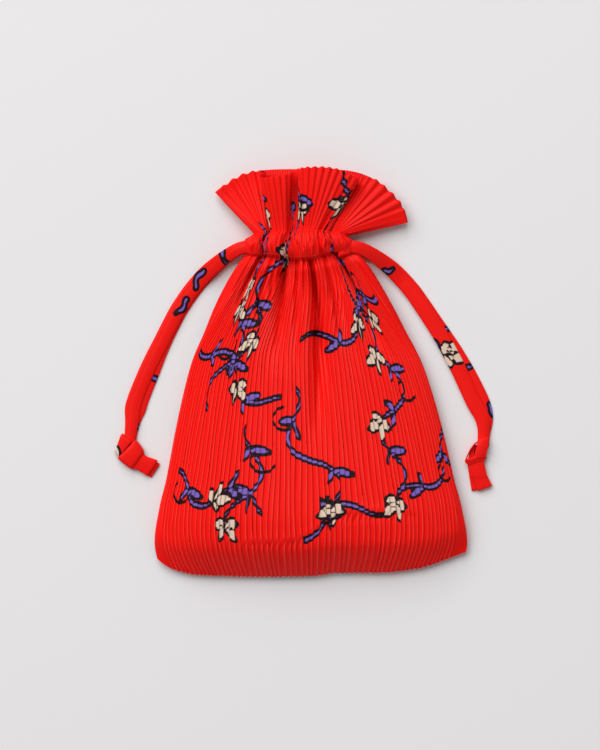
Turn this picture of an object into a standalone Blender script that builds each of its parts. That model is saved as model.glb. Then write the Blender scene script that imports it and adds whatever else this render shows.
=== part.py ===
"""Drawstring pouch of fine-pleated cloth, drawn shut and laid on its back.

+X is to the right, +Y runs up the bag to its mouth, and +Z points up from the surface it lies on.
The origin is under the middle of the bag, on that surface. Sizes are in millimetres, and MM turns
them into metres.
"""

from bisect import bisect_right

import bmesh
import bpy
from mathutils import Vector

MM = 0.001

# Sizes of the bag
BODY_WIDTH = 199.6  # widest place, near the bottom corners
BODY_LENGTH = 204.0  # bottom seam to the lower row of casing stitches
BODY_THICKNESS = 24.0  # height of the belly above the surface
SEAM_HEIGHT = 6.5  # height of the bottom and side seams above the surface
SEAM_THICKNESS = 1.0
LEAN = 6.5  # how far the neck lies to the left of the bottom
CASING_HEIGHT = 15.7  # between its two rows of stitches
CASING_WIDTH = 69.2
CASING_PUFF = 2.6  # how far the casing swells over its stitches
THROAT_WIDTH = 60.2  # at the upper row of stitches
NECK_SHARE = 0.73  # height of the gathered neck, as a share of the belly's
NECK_SEAM_HEIGHT = 9.3
FRILL_LENGTH = 41.3  # upper row of stitches to the top edge
FRILL_SPAN = 123.2
FRILL_CLOTH = 1.4  # thickness of the frill's pleated cloth

# Pleats, and the smooth hem beside each side seam
PLEATS = 56
PLEAT_DEPTH = 1.7
HEM_SHARE = 0.035  # of the bag's width
GATHER_DEPTH = 1.7  # of the large folds that the cord draws the neck into
PRESSED_FROM = 0.30  # stretch of the back whose pleats lie pressed flat, as shares of the body's length
PRESSED_TO = 0.56
PRESSED_HALF_WIDTH = 0.35

# Drawcord: a flat ribbon in the front of the casing and another in the back
RIBBON_WIDTH = 10.5
RIBBON_THICKNESS = 1.0
RIBBON_CLEARANCE = 0.4
RIBBON_GAP = 0.3
TUNNEL_HEIGHT_UP_CASING = 6.5  # middle of both tunnels, from the lower row of stitches
FRONT_TUNNEL_Z = 14.4
BACK_TUNNEL_Z = 4.2
KNOT_THICKNESS = 5.8

# Outline of the body, as (share of its length, share of the way from the neck's width to its full width)
WIDTH_PROFILE = (
    (0.0, 0.91), (0.05, 0.969), (0.108, 1.0), (0.219, 0.948), (0.30, 0.883), (0.457, 0.779),
    (0.599, 0.667), (0.677, 0.589), (0.771, 0.451), (0.85, 0.336), (0.928, 0.189), (1.0, 0.02),
)
# Rise of the bottom seam over its lowest point, in millimetres, by share of the width
BOTTOM_RISE = (
    (0.0, 11.5), (0.05, 5.5), (0.125, 2.0), (0.375, 0.0), (0.5, 0.5), (0.58, 2.4), (0.72, 2.7),
    (0.85, 5.5), (0.92, 9.5), (1.0, 16.0),
)
# Height of the front down its middle, as (share of the length, share of the belly's height)
CROWN_PROFILE = (
    (0.0, 0.27), (0.02, 0.52), (0.06, 0.77), (0.12, 0.94), (0.19, 1.0), (0.3, 0.97), (0.5, 0.9),
    (0.7, 0.83), (0.85, 0.79), (0.95, 0.77), (1.0, NECK_SHARE),
)
# Large folds across the gathered neck, as (share of the width, share of the fold's depth)
GATHERS = (
    (0.0, 0.0), (0.1, 0.6), (0.2, -1.0), (0.31, 1.0), (0.42, -1.0), (0.48, -0.3), (0.54, -0.9),
    (0.61, 0.8), (0.69, -0.8), (0.77, 1.0), (0.85, -0.8), (0.93, 0.4), (1.0, 0.0),
)
# How far down the body the large folds run, as (share of the length, share of their depth)
GATHER_REACH = ((0.5, 0.0), (0.66, 0.35), (0.8, 0.95), (0.93, 1.4), (1.0, 1.0))
# Top edge of the frill, as (share of the cloth's width, share across, share up)
FRILL_ACROSS = (
    (0.0, -1.0), (0.1, -0.78), (0.19, -0.536), (0.36, -0.227), (0.5, 0.05), (0.65, 0.227),
    (0.8, 0.438), (0.9, 0.747), (0.96, 0.933), (1.0, 1.0),
)
FRILL_UP = (
    (0.0, 0.605), (0.1, 0.82), (0.19, 0.95), (0.36, 0.985), (0.5, 1.0), (0.65, 0.99), (0.8, 0.93),
    (0.9, 0.73), (0.96, 0.467), (1.0, 0.162),
)
# Height of the frill's front layer at its top edge, in millimetres: two raised folds between low wings
FRILL_HEIGHTS = (
    (0.0, 6.8), (0.1, 8.6), (0.17, 9.4), (0.22, 17.0), (0.27, 20.0), (0.34, 18.5), (0.385, 10.0),
    (0.43, 11.0), (0.48, 18.0), (0.6, 21.0), (0.72, 20.0), (0.79, 16.5), (0.84, 11.0), (0.9, 9.6),
    (1.0, 6.8),
)
FRILL_BACK_HEIGHTS = ((0.0, 3.2), (0.12, 1.6), (0.3, 1.3), (0.5, 2.2), (0.7, 1.3), (0.88, 1.6), (1.0, 3.2))

# Rows of the loft: shares of the body's length, of the casing's height and of the frill's length
BODY_ROWS = (0.0, 0.02, 0.055, 0.11, 0.19, 0.3, 0.43, 0.56, 0.69, 0.81, 0.91, 1.0)
CASING_ROWS = (0.28, 0.74)
FRILL_ROWS = (0.0, 0.3, 0.68, 1.0)
FRILL_INNER_ROWS = (1.0, 0.55, 0.12)

# Free ends of the ribbons, from where they leave the casing to the knot, as (x, y) from the origin
LEFT_ROUTE = (
    (-41.5, 80.0), (-47.0, 78.2), (-54.0, 73.8), (-60.4, 68.8), (-67.3, 62.6), (-74.6, 54.4),
    (-81.6, 44.6), (-87.4, 34.8), (-98.7, 11.6), (-108.6, -12.0), (-111.8, -21.4), (-113.7, -29.8),
    (-115.4, -41.0),
)
RIGHT_ROUTE = (
    (25.6, 80.0), (31.4, 79.2), (38.2, 76.0), (45.4, 71.2), (53.6, 64.4), (63.0, 54.2),
    (70.5, 44.0), (86.0, 20.4), (97.0, 1.2), (107.2, -19.8), (110.2, -27.2), (111.0, -33.4),
    (110.4, -42.5),
)
UPPER_DROP = 42.0  # run over which each ribbon comes down to the surface
LOWER_DROP = 20.0
LOWER_SHIFT = 2.0  # how far the lower ribbon lies to the right of the upper one

# Outlines of the knots, as (x, y) from the middle of each knot
LEFT_KNOT = (-115.5, -51.5)
LEFT_FOLD = ((-6.0, 9.2), (4.0, 7.6), (8.7, -1.9), (2.4, -9.7), (-7.7, -3.7), (-9.4, 1.0))
LEFT_WRAP = ((4.0, 8.2), (9.1, -1.9), (2.4, -10.2), (-7.6, -4.1), (-3.7, -0.6))
LEFT_UPPER_END = ((7.6, -2.6), (17.4, -5.4), (10.8, -15.0), (1.9, -8.6))
LEFT_LOWER_END = ((8.0, -3.0), (19.0, -7.4), (13.0, -16.4), (2.3, -9.0))
RIGHT_KNOT = (106.2, -51.3)
RIGHT_FOLD = ((0.2, 5.2), (-3.6, 2.1), (-7.6, -5.3), (-6.2, -7.2), (4.4, -5.6), (4.6, 4.6))
RIGHT_WRAP = ((0.2, 7.6), (7.3, 7.2), (5.5, -0.5), (5.0, -3.9), (-0.4, -4.8), (-2.0, 2.0))
RIGHT_UPPER_END = ((-6.4, -4.9), (3.6, -4.2), (5.5, -12.2), (9.6, -20.6), (-1.2, -23.6))
RIGHT_LOWER_END = ((-6.9, -5.3), (3.2, -4.6), (5.9, -12.6), (10.3, -21.6), (0.9, -25.3), (-3.4, -24.8))


def smooth(stations, at):
    """Value at a place, on a curve through (place, value) stations that never overshoots them."""
    places = [station[0] for station in stations]
    values = [station[1] for station in stations]
    if at <= places[0]:
        return values[0]
    if at >= places[-1]:
        return values[-1]
    i = bisect_right(places, at) - 1
    rises = [(b - a) / (q - p) for a, b, p, q in zip(values, values[1:], places, places[1:])]

    def slope(j):
        if j in (0, len(places) - 1):
            return rises[min(j, len(rises) - 1)]
        before, after = rises[j - 1], rises[j]
        return 2 * before * after / (before + after) if before * after > 0 else 0.0

    run = places[i + 1] - places[i]
    s = (at - places[i]) / run
    ease = s * s * (3 - 2 * s)
    start = s * (1 - s) ** 2 * run * slope(i)
    end = s * s * (s - 1) * run * slope(i + 1)
    return values[i] * (1 - ease) + values[i + 1] * ease + start + end


def eased(s):
    s = min(max(s, 0.0), 1.0)
    return s * s * (3 - 2 * s)


def mix(a, b, s):
    return a + (b - a) * s


def crowned(across, fullness, roundness):
    """Share of the crown's height at a place from -1 to 1 across the bag."""
    return max(0.0, 1 - abs(across) ** fullness) ** roundness


def spread_pleats(u):
    """Place across the body, from -1 to 1, of a share u of the cloth: pleats crowd a little at the sides."""
    t = 2 * u - 1
    crowding = 0.22
    return t * (1 + crowding * (1 - t * t))


def lean_at(share):
    return -LEAN * max(share, 0.0) ** 2.2


def body_point(u, share, front):
    """Smooth surface of the body at a share u of the cloth's width and a share of the body's length."""
    rise = smooth(BOTTOM_RISE, u)
    y = rise + (BODY_LENGTH - rise) * share
    up = y / BODY_LENGTH
    half = mix(CASING_WIDTH, BODY_WIDTH, smooth(WIDTH_PROFILE, up)) / 2
    neck = eased((up - 0.6) / 0.4)
    across = mix(spread_pleats(u), 2 * u - 1, neck)
    x = lean_at(up) + half * across
    seam = mix(SEAM_HEIGHT, NECK_SEAM_HEIGHT, neck)
    if front:
        top = smooth(CROWN_PROFILE, share) * BODY_THICKNESS
        edge = seam + SEAM_THICKNESS / 2
        z = edge + (top - edge) * crowned(across, mix(2.8, 4.0, neck), mix(0.62, 0.5, neck))
        z += GATHER_DEPTH * smooth(GATHERS, u) * smooth(GATHER_REACH, share)
    else:
        edge = seam - SEAM_THICKNESS / 2
        lift = edge * (1 - eased(share / 0.05)) + 0.5 * neck
        z = edge + (lift - edge) * crowned(across, 5.0, 0.5)
    return Vector((x, y, z))


def throat_point(u, front):
    """Surface at the upper row of stitches, where the frill starts."""
    across = 2 * u - 1
    x = lean_at(1.0) + THROAT_WIDTH / 2 * across
    y = BODY_LENGTH + CASING_HEIGHT
    return Vector((x, y, neck_height(u, across, front, 0.0)))


def neck_height(u, across, front, puff):
    if front:
        edge = NECK_SEAM_HEIGHT + SEAM_THICKNESS / 2
        top = NECK_SHARE * BODY_THICKNESS + puff
        return edge + (top - edge) * crowned(across, 4.0, 0.5) + GATHER_DEPTH * smooth(GATHERS, u)
    edge = NECK_SEAM_HEIGHT - SEAM_THICKNESS / 2
    return edge + (0.5 - edge) * crowned(across, 5.0, 0.5)


def casing_point(u, share, front):
    """Surface of the casing at a share of its height. It swells between its rows of stitches."""
    across = 2 * u - 1
    swell = 4 * share * (1 - share)
    half = mix(CASING_WIDTH, THROAT_WIDTH, max(0.0, 2 * share - 1)) / 2
    x = lean_at(1.0) - 1.2 * swell + half * across
    y = BODY_LENGTH + CASING_HEIGHT * share
    return Vector((x, y, neck_height(u, across, front, CASING_PUFF * swell)))


def frill_point(u, share, front):
    """Surface of the frill at a share of its length: it fans out from the throat."""
    start = throat_point(u, front)
    x = FRILL_SPAN / 2 * smooth(FRILL_ACROSS, u)
    y = start.y + FRILL_LENGTH * smooth(FRILL_UP, u)
    z = smooth(FRILL_HEIGHTS if front else FRILL_BACK_HEIGHTS, u)
    return Vector((mix(start.x, x, share), mix(start.y, y, share), mix(start.z, z, eased(share))))


def hemmed(u):
    """1 where the cloth is pleated, 0 on the smooth hems at its sides."""
    return 1.0 if HEM_SHARE < u < 1 - HEM_SHARE else 0.0


def pressed(u, share):
    """1 on the patch of the back that the bag's weight presses flat."""
    if not PRESSED_FROM <= share <= PRESSED_TO:
        return 0.0
    return 1.0 if abs(2 * u - 1) < PRESSED_HALF_WIDTH else 0.0


def pleated(points, depths, lift):
    """Moves every other point of a row up and the rest down, square to the row, by half the pleat's depth."""
    moved = []
    last = len(points) - 1
    for k, point in enumerate(points):
        along = points[min(k + 1, last)] - points[max(k - 1, 0)]
        square = Vector((-along.z, 0.0, along.x)).normalized()
        side = 1 if k % 2 == 0 else -1
        moved.append(point + square * side * depths[k] / 2 + Vector((0, 0, lift * depths[k] / 2)))
    return moved


def row_of(surface, share, depth, front, inset=0.0, press=False):
    """One row of pleated points from the left side to the right."""
    steps = 2 * PLEATS
    points, depths = [], []
    for k in range(steps + 1):
        u = k / steps
        place = u
        if inset:
            end = 2.5 * inset
            place = max(u, inset + u * (1 - inset / end)) if u < 0.5 else u
            place = min(place, 1 - inset - (1 - u) * (1 - inset / end)) if u > 0.5 else place
        points.append(surface(place, share, front))
        depths.append(depth * hemmed(u) * (1 - (pressed(u, share) if press else 0.0)))
    return pleated(points, depths, 0.0 if front else 1.0)


def ring(surface, share, depth, press=False):
    """One closed row: the front from left to right, then the back from right to left."""
    front = row_of(surface, share, depth, True)
    back = row_of(surface, share, depth, False, press=press)
    return front + back[::-1]


def inner_ring(share):
    """One closed row inside the frill. The cloth bunches towards the throat, which closes the bag."""
    bunched = (1 - share) ** 2
    floor = throat_point(0.5, True).z / 2
    inset = 0.02
    rows = []
    for front, side in ((True, -1), (False, 1)):
        row = row_of(frill_point, share, PLEAT_DEPTH, front, inset=inset)
        for point in row:
            thick = point.z + side * FRILL_CLOTH
            point.z = mix(thick, floor - side, bunched) if (thick - floor) * -side > 1 else thick
        rows.append(row)
    return rows[0] + rows[1][::-1]


def body_rings():
    """Rows of the loft from the bottom seam up the outside, over the frill's edge and down inside it."""
    rings = []
    for share in BODY_ROWS:
        flattened = 0.45 if share == 0.0 else mix(1.0, 1.25, eased((share - 0.6) / 0.3))
        rings.append(ring(body_point, share, PLEAT_DEPTH * flattened, press=True))
    for share in CASING_ROWS:
        rings.append(ring(casing_point, share, PLEAT_DEPTH * 0.55))
    for share in FRILL_ROWS:
        rings.append(ring(frill_point, share, PLEAT_DEPTH * mix(0.7, 1.0, share)))
    for share in FRILL_INNER_ROWS:
        rings.append(inner_ring(share))
    return rings


def loft(name, rings):
    """Closed mesh through rows that hold the front and then the back, with the first and last row sewn shut."""
    mesh = bpy.data.meshes.new(name)
    obj = bpy.data.objects.new(name, mesh)
    shape = bmesh.new()
    rows = [[shape.verts.new(point * MM) for point in points] for points in rings]
    count = len(rows[0])
    for lower, upper in zip(rows, rows[1:]):
        for k in range(count):
            after = (k + 1) % count
            shape.faces.new((lower[k], lower[after], upper[after], upper[k]))
    for row in (rows[0], rows[-1]):
        for k in range(count // 2 - 1):
            shape.faces.new((row[k], row[k + 1], row[count - 2 - k], row[count - 1 - k]))
    bmesh.ops.recalc_face_normals(shape, faces=shape.faces)
    shape.to_mesh(mesh)
    shape.free()
    return obj


def cloth_material(name, colour, roughness):
    material = bpy.data.materials.new(name)
    material.use_nodes = True
    shader = material.node_tree.nodes["Principled BSDF"]
    shader.inputs["Base Color"].default_value = (*colour, 1)
    shader.inputs["Roughness"].default_value = roughness
    return material


def collection(name):
    made = bpy.data.collections.new(name)
    bpy.context.scene.collection.children.link(made)
    return made


def tunnel_cutter(name, z, cutters):
    """Flat slot from side to side through the casing, for one ribbon."""
    bpy.ops.mesh.primitive_cube_add(size=1)
    slot = bpy.context.object
    slot.name = name
    width = RIBBON_WIDTH + 2 * RIBBON_CLEARANCE
    height = RIBBON_THICKNESS + 2 * RIBBON_CLEARANCE
    slot.scale = (2 * CASING_WIDTH * MM, width * MM, height * MM)
    bpy.ops.object.transform_apply(location=False, rotation=False, scale=True)
    slot.location = (lean_at(1.0) * MM, (BODY_LENGTH + TUNNEL_HEIGHT_UP_CASING) * MM, z * MM)
    slot.hide_render = True
    slot.display_type = "WIRE"
    for home in slot.users_collection:
        home.objects.unlink(slot)
    cutters.objects.link(slot)
    return slot


def cut(obj, cutter):
    modifier = obj.modifiers.new(cutter.name, "BOOLEAN")
    modifier.operation = "DIFFERENCE"
    modifier.object = cutter


def bag_centre(rings):
    """Middle of the bag's outline, so that the origin can stand under it."""
    xs = [point.x for points in rings for point in points]
    ys = [point.y for points in rings for point in points]
    return Vector(((min(xs) + max(xs)) / 2, (min(ys) + max(ys)) / 2, 0))


def strand_points(route, high, low, drop, shift):
    """Points of one free ribbon end, from the casing down to the surface and along it."""
    points, run = [], 0.0
    previous = Vector(route[0])
    for place in route:
        here = Vector(place)
        run += (here - previous).length
        previous = here
        fallen = eased(run / drop)
        points.append(Vector((here.x + shift * fallen, here.y, mix(high, low, fallen))))
    return points


def rounded_route(points, per_span=2):
    """The same route with more points, read from a smooth curve through its own points."""
    ends = [2 * points[0] - points[1], *points, 2 * points[-1] - points[-2]]
    fine = []
    for a, b, c, d in zip(ends, ends[1:], ends[2:], ends[3:]):
        for i in range(per_span):
            s = i / per_span
            fine.append(
                0.5 * (2 * b + (c - a) * s + (2 * a - 5 * b + 4 * c - d) * s**2 + (3 * b - a - 3 * c + d) * s**3)
            )
    return [*fine, points[-1]]


def ribbon_profile(guides):
    """Section of the ribbon: flat, with thin rounded edges."""
    shape = bpy.data.curves.new("ribbon_profile", "CURVE")
    half, thick = RIBBON_WIDTH / 2, RIBBON_THICKNESS / 2
    flat = half - 0.8
    corners = ((half, 0), (flat, -thick), (-flat, -thick), (-half, 0), (-flat, thick), (flat, thick))
    spline = shape.splines.new("POLY")
    spline.points.add(len(corners) - 1)
    for point, (x, y) in zip(spline.points, corners):
        point.co = (x * MM, y * MM, 0, 1)
    spline.use_cyclic_u = True
    profile = bpy.data.objects.new("ribbon_profile", shape)
    profile.hide_render = True
    guides.objects.link(profile)
    return profile


def ribbon(name, tunnel_z, rest_z, drop, shift, profile):
    """One ribbon: left knot, up to the casing, through its tunnel, and down to the right knot."""
    left = strand_points(LEFT_ROUTE, tunnel_z, rest_z, drop, shift)
    right = strand_points(RIGHT_ROUTE, tunnel_z, rest_z, drop, shift)
    route = rounded_route(left[::-1] + right)
    shape = bpy.data.curves.new(name, "CURVE")
    shape.dimensions = "3D"
    shape.twist_mode = "Z_UP"
    shape.bevel_mode = "OBJECT"
    shape.bevel_object = profile
    shape.use_fill_caps = True
    spline = shape.splines.new("POLY")
    spline.points.add(len(route) - 1)
    for point, place in zip(spline.points, route):
        point.co = (*(place * MM), 1)
    return bpy.data.objects.new(name, shape)


def slab(name, outline, low, high, centre):
    """Flat piece of folded ribbon, as a mesh, with its edges eased."""
    shape = bpy.data.curves.new(name, "CURVE")
    shape.dimensions = "2D"
    shape.fill_mode = "BOTH"
    edge = min(0.45, (high - low) / 3)
    shape.extrude = ((high - low) / 2 - edge) * MM
    shape.bevel_depth = edge * MM
    shape.bevel_resolution = 1
    spline = shape.splines.new("POLY")
    spline.points.add(len(outline) - 1)
    for point, (x, y) in zip(spline.points, outline):
        point.co = (x * MM, y * MM, 0, 1)
    spline.use_cyclic_u = True
    curve = bpy.data.objects.new(name + "_outline", shape)
    bpy.context.scene.collection.objects.link(curve)
    bpy.context.view_layer.update()
    graph = bpy.context.evaluated_depsgraph_get()
    mesh = bpy.data.meshes.new_from_object(curve.evaluated_get(graph))
    bpy.data.objects.remove(curve)
    welded = bmesh.new()
    welded.from_mesh(mesh)
    bmesh.ops.remove_doubles(welded, verts=welded.verts, dist=0.01 * MM)
    bmesh.ops.recalc_face_normals(welded, faces=welded.faces)
    welded.to_mesh(mesh)
    welded.free()
    obj = bpy.data.objects.new(name, mesh)
    obj.location = (centre[0] * MM, centre[1] * MM, (low + high) / 2 * MM)
    return obj


def knot(name, centre, fold, wrap, upper_end, lower_end, cutters):
    """Flat knot that ties both ribbons: a folded core, the turn that binds it, and the two free ends."""
    lower = RIBBON_THICKNESS
    pieces = (
        slab(name, fold, 0.3, KNOT_THICKNESS - 1.6, centre),
        slab(name + "_wrap", wrap, 0.1, KNOT_THICKNESS, centre),
        slab(name + "_upper_end", upper_end, lower + 0.5, 2 * lower + 0.5, centre),
        slab(name + "_lower_end", lower_end, 0.2, lower + 0.2, centre),
    )
    for piece in pieces[1:]:
        piece.hide_render = True
        piece.display_type = "WIRE"
        cutters.objects.link(piece)
        union = pieces[0].modifiers.new(piece.name, "BOOLEAN")
        union.operation = "UNION"
        union.object = piece
    return pieces[0]


def main():
    for obj in list(bpy.data.objects):
        bpy.data.objects.remove(obj)
    pouch = collection("drawstring_pouch")
    cutters = collection("cutters")

    red_cloth = cloth_material("pleated_red_cloth", (0.86, 0.03, 0.012), 0.5)
    red_ribbon = cloth_material("red_ribbon", (0.82, 0.03, 0.012), 0.45)

    rings = body_rings()
    body = loft("pouch_body", rings)
    for name, z in (("front_tunnel", FRONT_TUNNEL_Z), ("back_tunnel", BACK_TUNNEL_Z)):
        cut(body, tunnel_cutter(name, z, cutters))
    body.data.materials.append(red_cloth)
    pouch.objects.link(body)

    profile = ribbon_profile(cutters)
    resting = RIBBON_THICKNESS / 2 + 0.1
    stacked = resting + RIBBON_THICKNESS + RIBBON_GAP
    centre = bag_centre(rings)
    ribbons = (
        ribbon("drawcord_front", FRONT_TUNNEL_Z, stacked, UPPER_DROP, 0.0, profile),
        ribbon("drawcord_back", BACK_TUNNEL_Z, resting, LOWER_DROP, LOWER_SHIFT, profile),
    )
    knots = (
        knot("knot_left", LEFT_KNOT, LEFT_FOLD, LEFT_WRAP, LEFT_UPPER_END, LEFT_LOWER_END, cutters),
        knot("knot_right", RIGHT_KNOT, RIGHT_FOLD, RIGHT_WRAP, RIGHT_UPPER_END, RIGHT_LOWER_END, cutters),
    )
    for obj in (*ribbons, *knots):
        obj.data.materials.append(red_ribbon)
        pouch.objects.link(obj)

    # The loft counts its length from the bottom seam, and the origin stands under its middle.
    shift = -centre * MM
    body.location = shift
    for cutter in (bpy.data.objects["front_tunnel"], bpy.data.objects["back_tunnel"]):
        cutter.location += shift


main()
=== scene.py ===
"""A drawstring pouch of fine-pleated printed cloth, drawn shut and lying on its back.

+X is to the right, +Y runs up the bag to its mouth and +Z points up from the table, in metres.
The origin is under the middle of the bag. Sizes below are in millimetres, and MM turns them into metres.
"""

import math

import bpy
import numpy as np
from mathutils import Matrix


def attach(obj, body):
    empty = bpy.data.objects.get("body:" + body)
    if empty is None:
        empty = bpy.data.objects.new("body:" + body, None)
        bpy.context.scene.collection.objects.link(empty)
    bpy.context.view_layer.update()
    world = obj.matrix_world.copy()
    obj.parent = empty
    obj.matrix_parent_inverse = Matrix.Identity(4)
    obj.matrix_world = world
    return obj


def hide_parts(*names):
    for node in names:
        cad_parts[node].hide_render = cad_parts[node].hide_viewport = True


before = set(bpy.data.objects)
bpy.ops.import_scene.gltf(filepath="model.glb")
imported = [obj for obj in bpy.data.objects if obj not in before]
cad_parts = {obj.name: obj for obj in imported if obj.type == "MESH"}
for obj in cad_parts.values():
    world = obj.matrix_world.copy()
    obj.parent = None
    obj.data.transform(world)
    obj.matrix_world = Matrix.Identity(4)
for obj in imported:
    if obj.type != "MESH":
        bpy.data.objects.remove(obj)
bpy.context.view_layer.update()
MM = 0.001

# Camera
# A long lens looks straight down on the pouch, as a product photographer's copy stand does.
# Each picture row covers 0.64 mm of the table, so the frame is 480 mm high.
LENS_HEIGHT = 2200.0
PICTURE_HEIGHT = 480.0
PICTURE_CENTRE = (-7.0, -1.6)
SENSOR_HEIGHT = 24.0
camera = bpy.data.objects.new("camera", bpy.data.cameras.new("camera"))
camera.data.sensor_fit = "VERTICAL"
camera.data.sensor_height = SENSOR_HEIGHT
camera.data.lens = SENSOR_HEIGHT * LENS_HEIGHT / PICTURE_HEIGHT
camera.location = (PICTURE_CENTRE[0] * MM, PICTURE_CENTRE[1] * MM, LENS_HEIGHT * MM)
bpy.context.scene.collection.objects.link(camera)
bpy.context.scene.camera = camera
bpy.context.scene.view_settings.view_transform = "Standard"

# Table and studio light
# The pouch lies on a sheet of matt off-white card. One large soft box hangs above it, towards the
# upper left, and pale walls fill the shadows.
TABLE_SIDE = 4000.0
TABLE_DROP = 0.2  # below the pouch, so that the table never cuts the cloth that lies flat on it


def linear(hex_colour):
    """Linear colour of an sRGB hex value."""
    channels = [int(hex_colour[i : i + 2], 16) / 255 for i in (1, 3, 5)]
    return (*[c / 12.92 if c <= 0.04045 else ((c + 0.055) / 1.055) ** 2.4 for c in channels], 1)


def plug(tree, made, sockets):
    """Sets or links some input sockets of a node."""
    for name, value in sockets.items():
        if isinstance(value, bpy.types.NodeSocket):
            tree.links.new(value, made.inputs[name])
        else:
            made.inputs[name].default_value = value


def add(tree, kind, sockets=None, **settings):
    """Adds a node, sets its settings, and sets or links its input sockets."""
    made = tree.nodes.new("ShaderNode" + kind)
    for name, value in settings.items():
        setattr(made, name, value)
    plug(tree, made, sockets or {})
    return made


def new_material(name):
    """A new material with its node tree and its shader."""
    material = bpy.data.materials.new(name)
    material.use_nodes = True
    return material, material.node_tree, material.node_tree.nodes["Principled BSDF"]


card, tree, shader = new_material("matt_off_white_card")
plug(tree, shader, {"Base Color": linear("#E7E5E6"), "Roughness": 0.95, "Specular IOR Level": 0.1})
bpy.ops.mesh.primitive_plane_add(size=TABLE_SIDE * MM, location=(0, 0, -TABLE_DROP * MM))
table = bpy.context.object
table.name = "table"
table.data.materials.append(card)

# Sizes and place of the soft box are in metres.
soft_box = bpy.data.lights.new("soft_box", "AREA")
soft_box.shape = "RECTANGLE"
soft_box.size = 5.6
soft_box.size_y = 5.0
soft_box.energy = 312
soft_box_stand = bpy.data.objects.new("soft_box", soft_box)
soft_box_stand.location = (-1.75, 3.0, 3.6)
soft_box_stand.rotation_euler = (-soft_box_stand.location).to_track_quat("-Z", "Y").to_euler()
bpy.context.scene.collection.objects.link(soft_box_stand)

walls = bpy.data.worlds.new("pale_walls")
walls.use_nodes = True
plug(walls.node_tree, walls.node_tree.nodes["Background"], {"Color": (1, 1, 1, 1), "Strength": 0.31})
bpy.context.scene.world = walls

# Drawcords
# Two flat ribbons of the bag's own cloth, left unpleated, folded in four and pressed to 10 mm wide.
# Each runs through the casing and comes down to the table on both sides, one ribbon lying on the other.
RIBBON_WIDTH = 10.0
RIBBON_THICKNESS = 0.9
# Same values as part.py: where the ribbons run, from the casing to the knots, and their heights.
LEFT_ROUTE = (
    (-41.5, 80.0), (-47.0, 78.2), (-54.0, 73.8), (-60.4, 68.8), (-67.3, 62.6), (-74.6, 54.4),
    (-81.6, 44.6), (-87.4, 34.8), (-98.7, 11.6), (-108.6, -12.0), (-111.8, -21.4), (-113.7, -29.8),
    (-115.4, -41.0),
)
RIGHT_ROUTE = (
    (25.6, 80.0), (31.4, 79.2), (38.2, 76.0), (45.4, 71.2), (53.6, 64.4), (63.0, 54.2),
    (70.5, 44.0), (86.0, 20.4), (97.0, 1.2), (107.2, -19.8), (110.2, -27.2), (111.0, -33.4),
    (110.4, -42.5),
)
FRONT_TUNNEL_Z = 14.4
BACK_TUNNEL_Z = 4.2
UPPER_DROP = 42.0
LOWER_DROP = 20.0
# How far the two ribbons lie apart sideways, by distance from the casing
LEFT_SPREAD = ((0, 0.0), (30, 0.8), (80, 1.4), (105, 3.2), (128, 3.6), (138, 1.0), (152, 0.4))
RIGHT_SPREAD = ((0, 0.0), (40, 0.8), (75, 1.4), (100, 3.4), (130, 5.0), (142, 2.6), (152, 0.4))

# The print: trailing stems in violet with a thick black outline, narrow leaves in pairs, and fans of cream
# petals. Each stem is (place across, place up, heading in degrees, length, swing in degrees, swings, leaf
# pairs, places of the cream fans as shares of the length), as it shows on the pleated bag.
TRAILS = (
    (62, 262, 256, 186, 46, 2.2, 4, (0.34, 0.7)), (112, 262, 284, 150, 42, 1.8, 3, (0.16, 0.98)),
    (190, 176, 205, 118, -50, 1.6, 3, (0.5,)), (6, 142, 330, 96, 48, 1.4, 3, (0.62,)),
    (156, 150, 258, 122, 54, 1.7, 3, (0.55,)), (12, 66, 350, 84, -56, 1.4, 2, (0.5,)),
    (198, 84, 214, 78, 50, 1.2, 2, (0.98,)), (92, 120, 292, 108, -48, 1.5, 2, (0.86,)),
    (160, 262, 252, 66, -36, 1.0, 1, (0.4,)), (18, 262, 282, 60, 34, 1.0, 1, (0.55,)),
    (96, 24, 18, 56, 50, 1.0, 1, ()), (88, 256, 262, 44, 30, 1.0, 1, (0.5,)),
    (132, 252, 250, 40, -30, 1.0, 1, (0.35,)), (134, 206, 300, 60, 46, 1.2, 1, (0.97,)),
    (40, 214, 276, 92, -40, 1.3, 2, (0.5,)), (8, 226, 300, 60, 40, 1.0, 1, (0.9,)),
    (60, 96, 262, 74, 44, 1.1, 2, (0.96,)),
)
STRETCH = 2.73  # mm of flat cloth in each mm across the pleated bag
# Short stems that cross the ribbons, on the flat cloth that the ribbons are cut from
RIBBON_TRAILS = (
    (698, 20, 8, 15, 20, 1.0, 0, ()), (703, 38, 74, 14, 30, 1.0, 0, ()), (706, 60, 95, 12, -30, 1.0, 0, ()),
    (750, 110, 5, 16, 20, 1.0, 0, ()), (757, 146, 10, 15, 25, 1.0, 0, ()),
    (801, 34, 40, 7, 40, 1.0, 0, ()), (799, 92, 62, 18, 40, 1.0, 0, (0.75,)),
    (857, 88, 5, 18, 20, 1.0, 0, ()), (857, 116, 12, 18, -20, 1.0, 0, ()), (859, 143, 70, 12, 20, 1.0, 0, ()),
    (901, 15.5, 150, 2, 20, 1.0, 0, (0.5,)), (936, 2, 70, 8, 20, 1.0, 0, ()),
)
STEM = 0.9  # half width of the violet
OUTLINE = 1.7  # width of the black around it
STROKES = 36  # short strokes that each stem is drawn in
INK = "#241318"
FAR = 99.0  # further than any print is from plain cloth


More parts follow.
